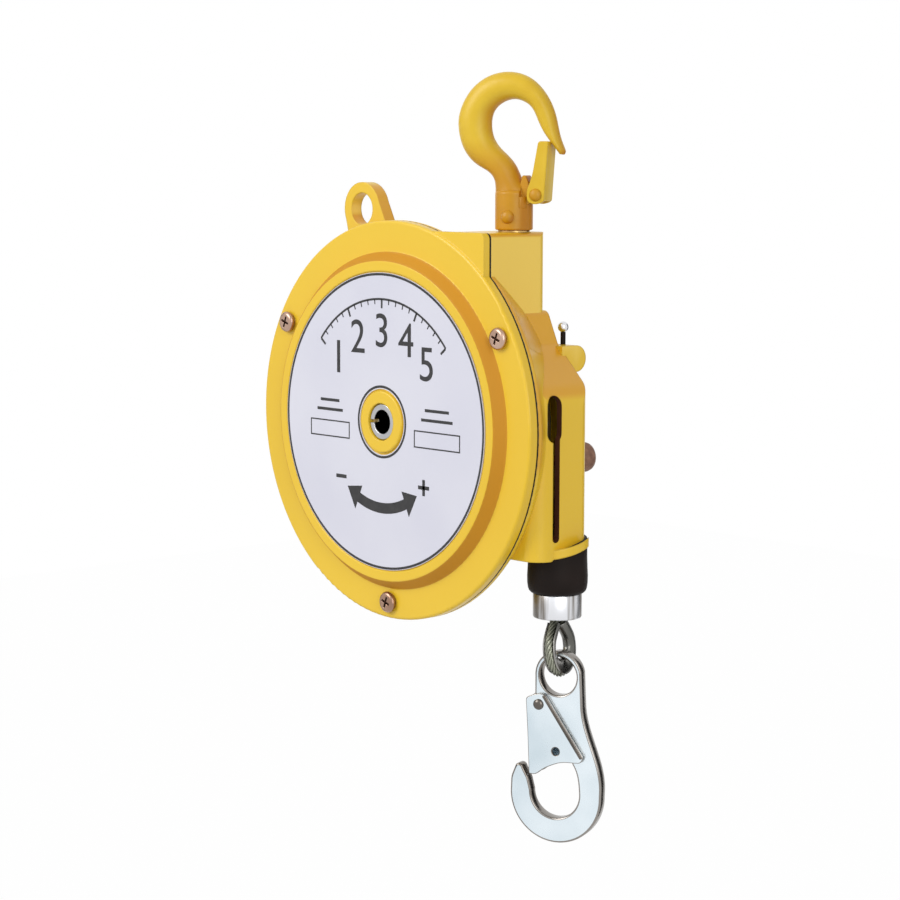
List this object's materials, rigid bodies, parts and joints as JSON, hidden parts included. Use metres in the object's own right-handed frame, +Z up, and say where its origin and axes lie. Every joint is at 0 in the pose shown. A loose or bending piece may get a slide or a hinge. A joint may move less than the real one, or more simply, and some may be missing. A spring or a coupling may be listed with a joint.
{
  "type": "tool balancer",
  "caption": "Spring tool balancer: round yellow die-cast casing with a label disc, swivelling top hook with latch, safety lug, rope outlet with rubber stop and a gated snap hook on a wire rope.",
  "frame": {"origin": "seat of the top hook's bowl, where the suspension bar bears, on the hook's swivel axis", "axes": "+Z up along the hook's swivel axis, -Y out of the labelled front face, +X towards the rope outlet"},
  "size_m": [0.158, 0.057, 0.2818],
  "materials": {
    "enamel": "gloss yellow enamel over a fine cast skin",
    "label": "printed silver label, satin",
    "screw_zinc": "yellow passivated zinc, satin",
    "bronze": "turned bronze",
    "steel": "machined steel",
    "spring_steel": "blued spring steel",
    "cast_aluminium": "die cast aluminium",
    "wire_rope": "stranded galvanised rope, lightly oiled",
    "nylon": "dark nylon",
    "rubber": "moulded rubber",
    "ferrule_aluminium": "turned aluminium",
    "zinc_plate": "bright zinc plate",
    "black_steel": "black oxide",
    "chrome": "polished chrome",
    "knob_plastic": "moulded grey brown plastic"
  },
  "bodies": {
    "hanger": {"suspension_hook": "enamel", "swivel_stem": "steel", "hook_cross_pin": "steel", "stem_nut": "steel", "thrust_washer": "steel", "latch_rivet": "steel", "latch_spring": "spring_steel"},
    "latch": {"hook_latch": "enamel"},
    "case": {"rear_housing": "enamel", "front_cover": "enamel", "label_plate": "label", "cover_screws": "screw_zinc", "screw_spring_washers": "screw_zinc", "arbor_bush_front": "bronze", "arbor_bush_rear": "bronze", "stem_bush": "bronze", "rope_guide": "nylon", "rope_run": "wire_rope", "gear_cover": "enamel", "gear_cover_screws": "screw_zinc", "worm_bushes": "bronze", "lock_spring": "spring_steel"},
    "drum": {"rope_drum": "cast_aluminium", "drum_lid": "cast_aluminium", "drum_lid_screws": "screw_zinc", "drum_bush_front": "bronze", "drum_bush_rear": "bronze", "main_spring": "spring_steel", "rope_winding": "wire_rope"},
    "arbor": {"spring_arbor": "steel", "worm_wheel": "bronze", "wheel_key": "steel", "arbor_circlip": "steel"},
    "worm": {"worm": "steel"},
    "lock_pin": {"worm_lock_pin": "black_steel", "pin_ball": "chrome"},
    "drum_lock": {"lock_knob": "knob_plastic", "lock_spindle": "steel"},
    "rope_stop": {"rope_stopper": "rubber"},
    "rope_end": {"ferrule": "ferrule_aluminium", "rope_loop": "wire_rope", "thimble": "zinc_plate"},
    "snap": {"snap_hook": "zinc_plate", "snap_gate_rivet": "steel", "gate_spring": "spring_steel"},
    "gate": {"snap_gate": "zinc_plate"}
  },
  "joints": [
    {"name": "hook_swivel", "type": "hinge", "parent": "hanger", "child": "case", "pos_m": [0, 0, -0.048], "axis": [0, 0, 1], "continuous": true},
    {"name": "latch_pivot", "type": "hinge", "parent": "hanger", "child": "latch", "pos_m": [0.00897, 0.00418, -0.0344], "axis": [0.4226, -0.9063, 0], "range_deg": [0, 40], "stiffness_Nm_per_rad": 0.03, "springref_deg": -34.38, "deforming": ["latch_spring"]},
    {"name": "rope_travel", "type": "slide", "parent": "case", "child": "rope_stop", "axis": [0, 0, -1], "range_m": [0, 1.3], "stiffness_N_per_m": 11.3, "springref_m": -1.3, "deforming": ["rope_run"]},
    {"name": "drum_spin", "type": "hinge", "parent": "case", "child": "drum", "pos_m": [-0.043, -0.005, -0.1193], "axis": [0, 1, 0], "range_deg": [0, 1275], "deforming": ["main_spring", "rope_winding"]},
    {"name": "worm_spin", "type": "hinge", "parent": "case", "child": "worm", "pos_m": [-0.033, 0.0163, -0.0942], "axis": [1, 0, 0], "continuous": true},
    {"name": "arbor_adjust", "type": "hinge", "parent": "case", "child": "arbor", "pos_m": [-0.043, -0.005, -0.1193], "axis": [0, 1, 0], "continuous": true},
    {"name": "worm_pin_pull", "type": "slide", "parent": "case", "child": "lock_pin", "axis": [0, 0, 1], "range_m": [0, 0.003]},
    {"name": "drum_lock_push", "type": "slide", "parent": "case", "child": "drum_lock", "axis": [0, -1, 0], "range_m": [0, 0.0018], "stiffness_N_per_m": 600, "springref_m": -0.003, "deforming": ["lock_spring"]},
    {"name": "loop_swivel", "type": "hinge", "parent": "rope_stop", "child": "rope_end", "pos_m": [0.0217, 0.0021, -0.1803], "axis": [0, 0, 1], "continuous": true},
    {"name": "snap_swing", "type": "hinge", "parent": "rope_end", "child": "snap", "pos_m": [0.02309, 0.00267, -0.2094], "axis": [0.3795, -0.9252, 0], "range_deg": [-50, 50]},
    {"name": "gate_pivot", "type": "hinge", "parent": "snap", "child": "gate", "pos_m": [0.01652, -0.00003, -0.2202], "axis": [0.3795, -0.9252, 0], "range_deg": [0, 30], "stiffness_Nm_per_rad": 0.03, "springref_deg": -34.38, "deforming": ["gate_spring"]}
  ],
  "couplings": [
    {"joint": "drum_spin", "follows": "rope_travel", "rad_per_m": 17.06},
    {"joint": "arbor_adjust", "follows": "worm_spin", "ratio": -0.028571}
  ]
}
